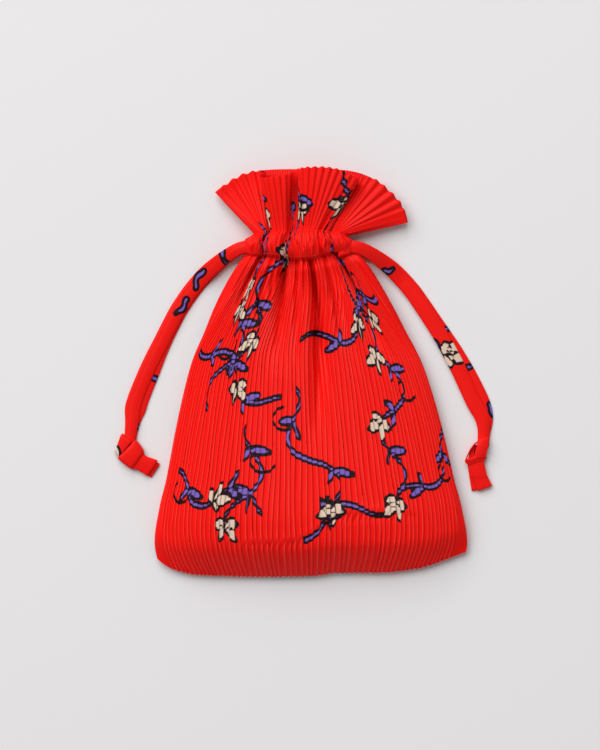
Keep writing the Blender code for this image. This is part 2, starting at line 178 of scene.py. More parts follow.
def to_capsules(at, ends):
    """Distance from cloth places to the nearest of some tapering strokes (x0, y0, r0, x1, y1, r1)."""
    nearest = np.full(len(at), FAR)
    for x0, y0, r0, x1, y1, r1 in ends:
        run = np.array((x1 - x0, y1 - y0))
        away = at - (x0, y0)
        share = np.clip(away @ run / max(run @ run, 1e-9), 0, 1)
        gap = np.linalg.norm(away - share[:, None] * run, axis=1) - (r0 + (r1 - r0) * share)
        nearest = np.minimum(nearest, gap)
    return nearest


def to_leaves(at, leaves):
    """Distances to the nearest of some leaves, and to their edges.

    A leaf is (x, y, heading, half length, half width), from its middle.
    """
    nearest = np.full(len(at), FAR)
    to_edge = np.full(len(at), FAR)
    for x, y, heading, long, wide in leaves:
        c, s = math.cos(heading), math.sin(heading)
        away = at - (x, y)
        along = away @ (c, s)
        across = away @ (-s, c)
        # A leaf is where two discs overlap, so it is pointed at both ends.
        reach = (long * long - wide * wide) / (2 * wide)
        edge = np.hypot(along, np.abs(across) + reach) - (reach + wide)
        tip = np.hypot(np.abs(along) - long, across)
        gap = np.where(np.abs(along) < long, edge, np.maximum(edge, tip))
        nearest = np.minimum(nearest, gap)
        to_edge = np.minimum(to_edge, np.abs(gap))
    return nearest, to_edge


def printed_at(places):
    """Distances in mm to violet, cream and black in the print, at places on the flat cloth."""
    fields = np.full((len(places), 3), FAR)
    motifs = [(STRETCH, trail) for trail in TRAILS] + [(1.0, trail) for trail in RIBBON_TRAILS]
    for stretch, (x, y, heading, length, swing, swings, pairs, fans) in motifs:
        # Cloth that the stem and its leaves can't reach is passed over.
        beside = np.abs(places[:, 0] - x * stretch) < min(length, 110) * stretch + 45
        near = np.flatnonzero(beside & (np.abs(places[:, 1] - y) < length + 25))
        if not len(near):
            continue
        at = places[near]
        share = np.linspace(0, 1, STROKES + 1)
        turns = math.radians(heading) + math.radians(swing) * np.sin(2 * math.pi * swings * share)
        xs = (x + np.concatenate(([0], np.cumsum(np.cos(turns[:-1])))) * length / STROKES) * stretch
        ys = y + np.concatenate(([0], np.cumsum(np.sin(turns[:-1])))) * length / STROKES

        def blade(x, y, heading, long, wide):
            """A leaf or petal that starts at a place on the cloth, longer where the pleats will hide it."""
            run = np.array((math.cos(heading) * stretch, math.sin(heading))) * long
            return x + run[0], y + run[1], math.atan2(run[1], run[0]), max(np.hypot(*run), wide * 1.3), wide

        widths = STEM * (0.8 + 0.3 * np.sin(9 * share + x)) * (1 - 0.5 * share**3)
        stem = [(xs[i], ys[i], widths[i], xs[i + 1], ys[i + 1], widths[i + 1]) for i in range(STROKES)]
        leaves, ink, petals = [], [], []
        for i in range(pairs):
            j = 3 + round((i + 0.3) * (STROKES - 6) / pairs)
            for side, long in ((1, 6.0), (-1, 4.2)):
                out = turns[j] + side * math.radians(42 if side > 0 else 60)
                leaves.append(blade(xs[j], ys[j], out, long, 1.9))
        if pairs:
            # One thin tendril curls away from each stem with leaves, in nine strokes.
            curl = turns[9] - math.radians(64)
            a = (xs[9], ys[9])
            for i in range(9):
                b = (a[0] + 2.8 * stretch * math.cos(curl), a[1] + 2.8 * math.sin(curl))
                ink.append((*a, 1.1, *b, 1.1))
                a, curl = b, curl + math.radians(22 if swing > 0 else -22)
        for fan in fans:
            j = min(round(fan * STROKES), STROKES)
            for turned, long in ((-96, 3.2), (-34, 5.6), (22, 6.2), (78, 3.6)):
                petals.append(blade(xs[j], ys[j], turns[j] + math.radians(turned), long, 3.4))
        violet = to_capsules(at, stem)
        if leaves:
            blades, veins = to_leaves(at, leaves)
            violet = np.minimum(violet, blades)
            fields[near, 2] = np.minimum(fields[near, 2], veins - 0.45)
        fields[near, 0] = np.minimum(fields[near, 0], violet)
        if petals:
            cream, veins = to_leaves(at, petals)
            fields[near, 1] = np.minimum(fields[near, 1], cream)
            fields[near, 2] = np.minimum(fields[near, 2], veins - 0.5)
        if ink:
            fields[near, 2] = np.minimum(fields[near, 2], to_capsules(at, ink))
    return fields


def mix(tree, factor, a, b):
    """Output of a node that mixes two colours."""
    return add(tree, "Mix", {"Factor": factor, "A": a, "B": b}, data_type="RGBA").outputs["Result"]


def printed_polyester(name, red, fold_streaks):
    """Printed polyester satin: flat colours, a soft sheen, fine lengthwise streaks, and a painted highlight that
    lightens the pleats' pressed edges.
    """
    material, tree, shader = new_material(name)
    cloth = add(tree, "Attribute", attribute_name="cloth")
    # Yarns are 0.1 mm apart, too fine to show here, so the streaks are drawn 1 mm apart.
    stretched = add(tree, "VectorMath", {0: cloth.outputs["Vector"], 1: (1.0, 0.07, 1.0)}, operation="MULTIPLY")
    streaks = add(tree, "TexNoise", {"Vector": stretched.outputs[0], "Scale": 1.0, "Detail": 3.0})
    dye = mix(tree, streaks.outputs["Fac"], linear(red[0]), linear(red[1]))
    # Painted highlight: each pleat's pressed edge is mixed towards a paler red, standing in for the sheen that the
    # edge catches.
    edge = add(tree, "Attribute", attribute_name="painted_ridge_highlight")
    highlight_factor = add(tree, "Math", {0: edge.outputs["Fac"], 1: 0.55}, operation="MULTIPLY", use_clamp=True)
    colour = mix(tree, highlight_factor.outputs[0], dye, linear("#FF463A"))
    field = add(tree, "Attribute", attribute_name="print")
    split = add(tree, "SeparateXYZ", {0: field.outputs["Vector"]})
    # Each ink covers the cloth nearer to its motif than a limit in mm, and its edge is 0.3 mm soft.
    layers = (
        ("X", OUTLINE, INK), ("X", 0.0, "#7A60B6"), ("Y", OUTLINE, INK), ("Y", 0.0, "#DDC4B0"), ("Z", 0.0, INK),
    )
    for axis, limit, ink in layers:
        soft = {"Value": split.outputs[axis], "From Min": limit + 0.15, "From Max": limit - 0.15}
        colour = mix(tree, add(tree, "MapRange", soft).outputs["Result"], colour, linear(ink))
    grain = add(tree, "TexNoise", {"Vector": cloth.outputs["Vector"], "Scale": 1.6, "Detail": 2.0})
    relief = add(tree, "Mix", {"Factor": 0.4, "A": streaks.outputs["Fac"], "B": grain.outputs["Fac"]})
    bump = add(tree, "Bump", {"Height": relief.outputs["Result"], "Strength": fold_streaks, "Distance": 0.0002})
    plug(tree, shader, {
        "Base Color": colour, "Normal": bump.outputs["Normal"], "Roughness": 0.38, "Specular IOR Level": 0.09,
        "Sheen Weight": 0.01, "Sheen Roughness": 0.4, "Sheen Tint": linear("#FF6A55"),
    })
    return material


ribbon_cloth = printed_polyester("printed_polyester_ribbon", ("#EA1410", "#F21C15"), 0.35)


def curve(stations, at):
    """Values at some places, on a curve through (place, value) stations that never overshoots them."""
    places = np.array([s[0] for s in stations], float)
    values = np.array([s[1] for s in stations], float)
    at = np.clip(np.asarray(at, float), places[0], places[-1])
    rises = np.diff(values) / np.diff(places)
    slopes = np.zeros(len(places))
    before, after = rises[:-1], rises[1:]
    total = np.where(before * after > 0, before + after, 1.0)
    slopes[1:-1] = np.where(before * after > 0, 2 * before * after / total, 0.0)
    slopes[0], slopes[-1] = rises[0], rises[-1]
    i = np.clip(np.searchsorted(places, at, side="right") - 1, 0, len(places) - 2)
    run = places[i + 1] - places[i]
    s = (at - places[i]) / run
    ease = s * s * (3 - 2 * s)
    start = s * (1 - s) ** 2 * run * slopes[i]
    end = s * s * (s - 1) * run * slopes[i + 1]
    return values[i] * (1 - ease) + values[i + 1] * ease + start + end


def eased(s):
    """0 up to 0 and 1 from 1 on, with a smooth rise between them."""
    s = np.clip(s, 0.0, 1.0)
    return s * s * (3 - 2 * s)


def cloth_piece(name, points, faces, cloth, material, painted_ridge_highlight=None):
    """Mesh object of some points in mm, with each point's place on the flat cloth, print and painted ridge highlight.
    """
    mesh = bpy.data.meshes.new(name)
    mesh.from_pydata(points * MM, [], faces)
    cloth = np.asarray(cloth, float)
    flat = np.column_stack((cloth, np.zeros(len(cloth))))
    for label, values in (("cloth", flat), ("print", np.clip(printed_at(cloth), -9, 9))):
        layer = mesh.attributes.new(label, "FLOAT_VECTOR", "POINT")
        layer.data.foreach_set("vector", values.astype(np.float32).ravel())
    # Painted highlight along the pleats' pressed edges, which stands in for their sheen.
    layer = mesh.attributes.new("painted_ridge_highlight", "FLOAT", "POINT")
    if painted_ridge_highlight is not None:
        layer.data.foreach_set("value", painted_ridge_highlight.astype(np.float32))
    mesh.polygons.foreach_set("use_smooth", [True] * len(mesh.polygons))
    mesh.materials.append(material)
    mesh.update()
    obj = bpy.data.objects.new(name, mesh)
    bpy.context.scene.collection.objects.link(obj)
    return obj


def run_of(line):
    """Distance of each point of a line from its start, along the line."""
    return np.concatenate(([0], np.cumsum(np.linalg.norm(np.diff(line, axis=0), axis=1))))


def ring_faces(rings, around):
    """Faces between rings of points that follow each other."""
    return [
        (i * around + k, i * around + (k + 1) % around, (i + 1) * around + (k + 1) % around, (i + 1) * around + k)
        for i in range(rings - 1) for k in range(around)
    ]


def smooth_route(points, step):
    """The same route through its points on one smooth curve, with a point every step mm."""
    points = [np.array(p, float) for p in points]
    ends = [2 * points[0] - points[1], *points, 2 * points[-1] - points[-2]]
    fine = []
    for a, b, c, d in zip(ends, ends[1:], ends[2:], ends[3:]):
        for s in np.linspace(0, 1, 12, endpoint=False):
            fine.append(
                0.5 * (2 * b + (c - a) * s + (2 * a - 5 * b + 4 * c - d) * s**2 + (3 * b - a - 3 * c + d) * s**3)
            )
    fine = np.array([*fine, points[-1]])
    along = run_of(fine)
    at = np.linspace(0, along[-1], int(along[-1] / step) + 1)
    return np.column_stack([np.interp(at, along, fine[:, k]) for k in range(fine.shape[1])]), at


def band(name, left, right, thickness, cloth_start, material, crease=0.0, hollow=0.0, crease_at=0.4):
    """Flat folded ribbon between two edge lines in mm, with rounded edges and a pressed lengthwise crease."""
    left, right = np.asarray(left, float), np.asarray(right, float)
    middle = (left + right) / 2
    tangent = np.gradient(middle, axis=0)
    across = right - left
    width = np.linalg.norm(across, axis=1)
    normal = np.cross(across, tangent)
    normal /= np.linalg.norm(normal, axis=1)[:, None]
    normal *= np.where(normal[:, 2] < 0, -1, 1)[:, None]
    share = 0.5 - 0.5 * np.cos(np.linspace(0, math.pi, 15))
    half = thickness / 2 * np.sqrt(np.maximum(0, 1 - np.abs(2 * share - 1) ** 8))
    dip = -hollow * (1 - (2 * share - 1) ** 2) - crease * np.exp(-(((share - crease_at) / 0.05) ** 2))
    ring_share = np.concatenate((share, share[-2:0:-1]))
    ring_height = np.concatenate((dip + half, (dip - half)[-2:0:-1]))
    points, cloth = [], []
    along = run_of(middle)
    for i in range(len(left)):
        points.append(left[i] + ring_share[:, None] * across[i] + ring_height[:, None] * normal[i])
        lengthwise = np.full(len(ring_share), cloth_start[1] + along[i])
        cloth.append(np.column_stack((cloth_start[0] + ring_share * width[i], lengthwise)))
    count = len(ring_share)
    last = (len(left) - 1) * count
    caps = [tuple(range(count))[::-1], tuple(range(last, last + count))]
    faces = ring_faces(len(left), count) + caps
    return cloth_piece(name, np.concatenate(points), faces, np.concatenate(cloth), material)


IN_CASING = 6.0  # mm of each strand inside the casing
IN_KNOT = 5.0  # mm of it inside the knot


def beyond(end, before, reach):
    """The point some mm past the end of a line."""
    end, before = np.array(end), np.array(before)
    return end + reach * (end - before) / np.linalg.norm(end - before)


def strand(name, route, tunnel_z, rest_z, drop, spread, side, cloth_start, node):
    """One free end of a ribbon, from the casing to its knot, and the points that it follows."""
    ends = beyond(route[0], route[1], IN_CASING), beyond(route[-1], route[-2], IN_KNOT)
    flat, run = smooth_route([ends[0], *route, ends[1]], 1.5)
    run = run - IN_CASING
    down = eased(run / drop)
    sideways = np.gradient(flat, axis=0)
    sideways = np.column_stack((-sideways[:, 1], sideways[:, 0]))
    sideways /= np.linalg.norm(sideways, axis=1)[:, None]
    # On both sides the lower ribbon shows at the right of the upper one.
    sideways *= np.where(sideways[:, 0] < 0, -1, 1)[:, None]
    middle = flat + sideways * (side * curve(spread, run) / 2)[:, None]
    height = tunnel_z + (rest_z - tunnel_z) * down
    path = np.column_stack((middle, height))
    wobble = 0.35 * np.sin(run / 11 + 2 * side) + 0.2 * np.sin(run / 5.3 + side)
    tilt = (0.45 + wobble * 0.4) * down * (1 if side < 0 else 0.3)
    # The mouth of the casing and the pull of the knot fold the ribbon narrower.
    narrowed = 1 - 0.26 * eased((run - run[-1] + 24) / 19) - 0.2 * (1 - eased((run - 4) / 30))
    half = np.column_stack((sideways * (narrowed * RIBBON_WIDTH / 2)[:, None], -tilt * 0.6))
    left, right = path - half, path + half
    piece = band(
        name, left, right, RIBBON_THICKNESS, cloth_start, ribbon_cloth, crease=0.25,
        hollow=-0.8 if side < 0 else -0.4, crease_at=0.3,
    )
    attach(piece, "root")
    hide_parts(node)
    length = float(np.sum(np.linalg.norm(np.diff(path, axis=0), axis=1)))
    return piece, path * MM, length * MM


# Heights of the two ribbons above the table where they lie on it
UPPER_REST = 2.15
LOWER_REST = 0.75
strands = []
for hand, route, spread, across in (
    ("left", LEFT_ROUTE, LEFT_SPREAD, 700), ("right", RIGHT_ROUTE, RIGHT_SPREAD, 800),
):
    upper = (FRONT_TUNNEL_Z, UPPER_REST, UPPER_DROP, spread, -1, (across, 0), "drawcord_front")
    lower = (BACK_TUNNEL_Z, LOWER_REST, LOWER_DROP, spread, 1, (across + 50, 0), "drawcord_back")
    strands += [strand(f"ribbon_{hand}_upper", route, *upper), strand(f"ribbon_{hand}_lower", route, *lower)]

# Knots
# On each side both ribbon ends are tied in one overhand knot, pressed flat, with 15 mm left over.
# Each knot is the ribbon's own turns: flat bands folded over each other, with the free ends below.


def turn(left, right, thickness, steps, cloth_start, **creased):
    """One flat turn of ribbon between two edge lines, given by a few corners each."""
    sides = []
    for edge in (left, right):
        edge = np.array(edge, float)
        along = run_of(edge)
        at = np.linspace(0, along[-1], steps)
        sides.append(np.column_stack([np.interp(at, along, edge[:, k]) for k in range(3)]))
    return band("turn", *sides, thickness, cloth_start, ribbon_cloth, **creased)


def join(name, pieces):
    """One object of several turns that touch."""
    bpy.ops.object.select_all(action="DESELECT")
    for piece in pieces:
        piece.select_set(True)
    bpy.context.view_layer.objects.active = pieces[0]
    bpy.ops.object.join()
    pieces[0].name = name
    return pieces[0]


left_turns = [
    # the two free ends, one on the other, cut square and curling down
    turn(
        [(-108.6, -51.4, 1.6), (-99.6, -56.6, 1.5), (-96.6, -58.4, 0.7)],
        [(-114.2, -59.4, 1.6), (-105.2, -65.4, 1.5), (-102.4, -67.2, 0.7)], 0.9, 16, (1100, 60), hollow=-0.3,
    ),
    turn(
        [(-109.4, -51.0, 3.3), (-105.6, -53.4, 3.1), (-99.2, -55.6, 2.6), (-98.0, -56.2, 2.1)],
        [(-115.2, -59.6, 3.3), (-112.0, -61.6, 3.1), (-105.6, -65.6, 2.6), (-104.7, -66.2, 2.1)],
        0.9, 20, (1120, 64), hollow=-0.5, crease=0.15, crease_at=0.75,
    ),
    # the flap at the upper left, which the ribbons run in under
    turn(
        [(-120.6, -38.9, 2.4), (-121.6, -40.0, 3.7), (-124.8, -48.9, 3.5), (-125.4, -50.4, 2.0)],
        [(-114.6, -44.2, 3.6), (-115.2, -45.2, 3.9), (-121.8, -53.2, 3.7), (-122.6, -54.6, 2.4)],
        0.9, 20, (896, 0), hollow=-0.2,
    ),
    turn(
        [(-115.0, -42.4, 1.4), (-119.6, -46.2, 1.6), (-124.9, -50.4, 1.4)],
        [(-108.4, -50.8, 1.6), (-113.0, -56.0, 1.8), (-121.6, -55.4, 1.4)], 1.2, 16, (1150, 44), hollow=-0.2,
    ),
    # the edge of the turn underneath, which shows below the top one
    turn(
        [(-111.0, -46.4, 1.8), (-111.2, -47.4, 3.4), (-112.4, -51.0, 3.8), (-115.6, -57.6, 3.6), (-116.6, -59.0, 2.0)],
        [(-106.6, -51.2, 1.8), (-106.6, -52.0, 3.2), (-107.4, -53.6, 3.5), (-112.8, -61.8, 3.3), (-113.2, -62.4, 2.0)],
        0.9, 20, (1160, 44),
    ),
    # the turn on top, which wraps round from the upper right to the lower left
    turn(
        [
            (-112.4, -43.0, 2.0), (-112.8, -43.6, 4.3), (-114.2, -45.2, 5.1), (-118.4, -49.6, 5.2),
            (-122.4, -53.4, 4.6), (-123.2, -54.2, 3.4), (-123.4, -54.6, 1.8),
        ],
        [
            (-106.8, -50.6, 2.0), (-107.4, -51.6, 4.0), (-108.4, -53.0, 4.7), (-111.2, -57.2, 4.8),
            (-113.7, -60.6, 4.2), (-114.2, -61.4, 3.0), (-114.3, -61.8, 1.8),
        ],
        1.0, 34, (1180, 90), hollow=-0.4,
    ),
    turn(
        [(-113.6, -45.9, 5.1), (-114.3, -46.6, 5.6), (-118.2, -50.6, 5.7), (-121.9, -54.2, 5.1), (-122.7, -55.0, 4.0)],
        [(-108.6, -51.8, 4.8), (-109.3, -52.7, 5.3), (-112.0, -56.8, 5.4), (-114.6, -60.4, 4.8), (-115.1, -61.1, 3.7)],
        0.5, 34, (1180, 130), hollow=-0.3,
    ),
]
left_knot = join("knot_left_tied", left_turns)
right_turns = [
    # the two free ends, one on the other, with a crease across them
    turn(
        [(99.6, -56.0, 1.6), (101.2, -66.0, 1.5), (102.8, -75.8, 0.8)],
        [(109.6, -54.2, 1.6), (111.4, -63.6, 1.5), (114.4, -73.4, 0.8)], 0.9, 18, (1200, 20), hollow=-0.2,
    ),
    turn(
        [(100.2, -56.0, 3.4), (102.4, -66.4, 3.0), (103.5, -68.6, 2.4), (106.6, -75.9, 2.0)],
        [(109.9, -54.2, 3.4), (112.4, -65.4, 3.0), (113.2, -67.0, 2.4), (116.0, -72.4, 2.0)],
        0.9, 24, (1220, 28), hollow=-0.4, crease=0.2, crease_at=0.3,
    ),
    # the hollow turn at the left: its inside, and its rim, which stands up
    turn(
        [(103.4, -46.2, 2.6), (101.2, -51.0, 2.6), (100.4, -56.2, 2.6)],
        [(110.0, -46.2, 2.6), (108.0, -52.0, 2.6), (106.2, -56.2, 2.6)], 1.0, 14, (931, 0),
    ),
    turn(
        [(107.4, -43.6, 5.2), (104.6, -45.4, 5.7), (102.1, -48.6, 5.8), (99.9, -53.2, 5.4), (98.5, -56.6, 4.2)],
        [(106.9, -44.4, 2.8), (104.2, -46.2, 2.6), (101.8, -49.4, 2.4), (99.8, -53.8, 2.2), (98.8, -57.2, 1.6)],
        0.9, 26, (1240, 20),
    ),
    # the lower edges of the turn that binds the knot, one above the other
    turn(
        [(98.4, -56.2, 4.0), (101.2, -55.8, 4.5), (105.8, -54.4, 4.7), (110.8, -53.2, 4.0), (111.6, -53.0, 2.6)],
        [(99.0, -58.0, 3.4), (101.6, -58.9, 3.8), (106.2, -57.2, 4.0), (111.0, -56.2, 3.4), (111.7, -55.6, 2.4)],
        1.0, 24, (1260, 22), hollow=-0.3,
    ),
    turn(
        [(98.8, -55.2, 4.9), (102.0, -54.4, 5.3), (106.4, -52.6, 5.3), (111.0, -51.2, 4.6)],
        [(99.6, -57.2, 4.6), (102.4, -57.0, 5.0), (106.6, -55.2, 5.0), (110.9, -54.4, 4.4)],
        0.8, 22, (1270, 22), hollow=-0.2,
    ),
    # the turn that binds the knot
    turn(
        [(106.4, -42.4, 2.0), (106.5, -43.2, 4.8), (106.0, -46.6, 5.4), (104.6, -51.4, 5.4), (103.8, -54.6, 5.0)],
        [(113.6, -41.6, 2.0), (113.6, -42.4, 4.4), (113.2, -47.6, 4.9), (112.2, -51.6, 4.8), (111.4, -54.2, 4.4)],
        1.0, 30, (1280, 90), hollow=-0.5, crease=0.2, crease_at=0.8,
    ),
]
right_knot = join("knot_right_tied", right_turns)
for knot_piece, node_name in ((left_knot, "knot_left"), (right_knot, "knot_right")):
    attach(knot_piece, "root")
    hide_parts(node_name)

# Bag
# One piece of thin polyester, printed flat, heat-set in 65 sharp pleats and sewn up its sides. Two rows of
# stitches make the casing for the ribbons, which draws it in, and the cloth above it flares into a frill.
# Same values as part.py: the bag's sizes and its outlines.
BODY_WIDTH = 199.6
BODY_LENGTH = 204.0
BODY_THICKNESS = 24.0
SEAM_HEIGHT = 6.5
SEAM_THICKNESS = 1.0
LEAN = 6.5
CASING_HEIGHT = 15.7
CASING_WIDTH = 69.2
CASING_PUFF = 2.6
THROAT_WIDTH = 60.2
NECK_SHARE = 0.73
NECK_SEAM_HEIGHT = 9.3
WIDTH_PROFILE = (
    (0.0, 0.91), (0.05, 0.969), (0.108, 1.0), (0.219, 0.948), (0.30, 0.883), (0.457, 0.779),
    (0.599, 0.667), (0.677, 0.589), (0.771, 0.451), (0.85, 0.336), (0.928, 0.189), (1.0, 0.02),
)
CROWN_PROFILE = (
    (0.0, 0.27), (0.02, 0.52), (0.06, 0.77), (0.12, 0.94), (0.19, 1.0), (0.3, 0.97), (0.5, 0.9),
    (0.7, 0.83), (0.85, 0.79), (0.95, 0.77), (1.0, NECK_SHARE),
)
MIDDLE_Y = 130.5  # from the bottom seam to the origin
PLEATS = 65  # on each side; part.py has fewer, to keep its triangles down
NECK_FROM = 0.68  # share of the body's length from which its cloth draws in to the casing
CLOTH_IN_FRILL = 42.0  # mm of cloth above the casing
# How far the bottom seam rises, in mm by share across: its left corner is rounder here than in part.py.
BOTTOM_RISE = (
    (0.0, 11.5), (0.015, 8.0), (0.05, 3.9), (0.125, 1.2), (0.375, 0.0), (0.5, 0.5), (0.58, 2.4), (0.72, 2.7),
    (0.85, 5.5), (0.92, 9.5), (1.0, 16.0),
)
# Where the cloth lies across the casing: (share of the cloth, share across). The hems stay wide and flat,
# the pleats on the raised puffs are loose, and the rest are packed into the valleys between them.
GATHERED = (
    (0.0, 0.0), (0.02, 0.09), (0.12, 0.155), (0.19, 0.18), (0.29, 0.37), (0.36, 0.41), (0.45, 0.49),
    (0.56, 0.66), (0.635, 0.79), (0.86, 0.85), (0.975, 0.915), (1.0, 1.0),
)
# Large folds across the casing, in mm by share across
CASING_FOLDS = (
    (0.0, 0.0), (0.05, 0.6), (0.12, 0.4), (0.165, -3.2), (0.2, 1.2), (0.25, 2.6), (0.29, 1.7), (0.33, 2.4),
    (0.375, -3.4), (0.43, -5.4), (0.48, -2.6), (0.515, 1.6), (0.6, 2.6), (0.68, 1.4), (0.70, -1.2), (0.735, 1.0),
    (0.77, -0.4), (0.82, -3.4), (0.86, -0.4), (0.93, 0.4), (1.0, 0.0),
)
# How far the two rows of stitches stray from a straight line, in mm by share across
LOWER_STITCHES = (
    (0.0, 1.5), (0.15, 0.6), (0.3, -0.3), (0.42, -1.9), (0.6, -1.8), (0.72, 1.0), (0.85, 2.6), (1.0, 4.0),
)
UPPER_STITCHES = ((0.0, -0.8), (0.2, 0.2), (0.35, 0.8), (0.5, 2.3), (0.7, 1.6), (0.85, 0.6), (1.0, -2.2))
# Valleys that the drawn casing pulls into the neck: (share across at the neck, share across at its end,
# share of the length where it ends, depth in mm, half width as a share of the width)
VALLEYS = (
    (0.139, 0.115, 0.78, 5.0, 0.028), (0.36, 0.372, 0.62, 7.0, 0.046), (0.585, 0.527, 0.34, 8.0, 0.036),
    (0.83, 0.845, 0.66, 6.0, 0.048), (0.915, 0.952, 0.64, 4.0, 0.02), (0.235, 0.24, 0.74, 3.5, 0.022),
    (0.46, 0.45, 0.60, 4.0, 0.03), (0.73, 0.69, 0.62, 4.0, 0.026),
    (0.139, 0.115, 0.80, 5.0, 0.011), (0.247, 0.247, 0.74, 5.0, 0.011), (0.375, 0.372, 0.66, 8.0, 0.014),
    (0.585, 0.527, 0.42, 9.0, 0.014), (0.46, 0.45, 0.66, 5.0, 0.010), (0.70, 0.66, 0.70, 5.0, 0.010),
    (0.82, 0.845, 0.70, 7.0, 0.013), (0.525, 0.49, 0.76, 4.0, 0.009), (0.19, 0.175, 0.84, 4.0, 0.009),
    (0.30, 0.30, 0.82, 4.0, 0.009), (0.76, 0.75, 0.80, 4.0, 0.009),
)
# Crease where the full belly folds towards the bottom seam: (share across, mm above the seam) and its depth
CREASE_LINE = (
    (0.0, 22.0), (0.22, 21.5), (0.43, 22.5), (0.49, 25.5), (0.52, 31.0), (0.57, 37.5), (0.67, 39.0), (0.8, 37.0),
    (1.0, 34.0),
)
CREASE_DEPTH = (
    (0.0, 0.0), (0.2, 0.14), (0.36, 0.4), (0.5, 0.55), (0.68, 0.55), (0.78, 0.2), (0.86, 0.0), (1.0, 0.0),
)
# Edge of the frill's two layers: (share of the cloth, mm across, mm above the casing, mm above the table).
# The front layer is folded over itself at both sides of a deep groove, and over the right wing.
FRONT_EDGE = (
    (0.0, -61.3, 25.8, 6.8), (0.018, -58.6, 28.0, 7.0), (0.035, -52.4, 32.4, 8.0), (0.055, -44.0, 37.0, 8.8),
    (0.075, -36.0, 39.2, 9.2), (0.09, -31.4, 39.6, 9.0), (0.12, -28.8, 39.4, 8.5), (0.16, -30.7, 38.2, 11.0),
    (0.185, -33.0, 36.4, 15.5), (0.2, -32.3, 35.1, 18.4), (0.22, -29.4, 34.3, 19.6), (0.25, -22.4, 35.7, 20.0),
    (0.275, -15.7, 36.9, 19.4), (0.29, -12.9, 37.0, 17.0), (0.31, -12.8, 38.4, 12.0), (0.34, -13.1, 39.1, 7.0),
    (0.37, -10.9, 39.6, 5.4), (0.4, -8.3, 39.8, 6.5), (0.43, -8.1, 39.9, 12.0), (0.45, -8.2, 40.2, 17.0),
    (0.465, -7.0, 40.5, 19.2), (0.485, -2.6, 41.1, 20.6), (0.515, 6.4, 41.3, 21.2), (0.545, 15.4, 40.2, 20.8),
    (0.57, 22.4, 37.5, 19.8), (0.59, 27.5, 34.8, 18.6), (0.605, 30.6, 33.0, 17.0), (0.64, 30.9, 32.7, 13.5),
    (0.7, 28.2, 33.4, 11.0), (0.78, 25.0, 35.1, 9.0), (0.85, 28.2, 36.0, 8.6), (0.885, 32.6, 35.7, 8.8),
    (0.905, 37.6, 35.2, 9.4), (0.92, 42.6, 33.0, 9.8), (0.936, 48.0, 28.6, 9.8), (0.952, 53.4, 23.4, 9.4),
    (0.967, 57.6, 18.3, 8.8), (0.981, 60.2, 12.9, 8.0), (1.0, 61.9, 6.6, 6.8),
)
BACK_EDGE = (
    (0.0, -61.0, 25.6, 3.2), (0.05, -50.0, 33.0, 2.2), (0.11, -38.0, 38.2, 1.6), (0.2, -29.0, 40.4, 1.3),
    (0.32, -17.0, 40.9, 1.3), (0.5, 3.0, 41.0, 1.5), (0.62, 19.0, 40.5, 1.3), (0.7, 28.0, 39.2, 1.3),
    (0.8, 36.0, 36.6, 1.3), (0.88, 45.0, 31.2, 1.5), (0.93, 53.0, 23.4, 1.8), (0.97, 59.2, 13.4, 2.6),
    (1.0, 61.7, 6.8, 3.2),
)
# One pleat, by share of its pitch: a broad face that climbs to the right, its pressed edge, and a steep face
# that falls back. More than half of each pleat's cloth lies folded under its edge, so the print breaks there.
PLEAT_AT = (0.0, 0.16, 0.38, 0.60, 0.72, 0.80, 0.87, 0.94)
PLEAT_RISE = (0.0, 0.14, 0.38, 0.68, 0.88, 1.0, 0.68, 0.28)
# How strongly a pale highlight is painted at each place, strongest on the pressed edge, in place of its sheen.
PLEAT_HIGHLIGHT = (0.0, 0.0, 0.0, 0.12, 0.95, 1.0, 0.2, 0.0)
PLEAT_CLOTH = (0.0, 0.5, 1.25, 2.1, 2.65, 3.05, 4.9, 6.7)  # mm of cloth up to each place
CLOTH_PER_PLEAT = 8.4
PLEAT_DEPTH = 0.85
PACKED_PITCH = 1.5  # pleats closer than this lie over each other


def lean_at(share):
    """How far the bag leans to the left, at a share of its length."""
    return -LEAN * np.maximum(share, 0.0) ** 2.2


def crowned(across, fullness, roundness):
    """1 in the middle and 0 at both side seams, at places from -1 to 1 across."""
    return np.maximum(0.0, 1 - np.abs(across) ** fullness) ** roundness


def neck_height(across, front, puff):
    """Height of the drawn neck above the table, at places from -1 to 1 across it."""
    if front:
        edge = NECK_SEAM_HEIGHT + SEAM_THICKNESS / 2
        top = NECK_SHARE * BODY_THICKNESS + puff
        return edge + (top - edge) * crowned(across, 5.0, 0.5) + curve(CASING_FOLDS, (across + 1) / 2)
    edge = NECK_SEAM_HEIGHT - SEAM_THICKNESS / 2
    return edge + (0.7 - edge) * crowned(across, 5.0, 0.5)


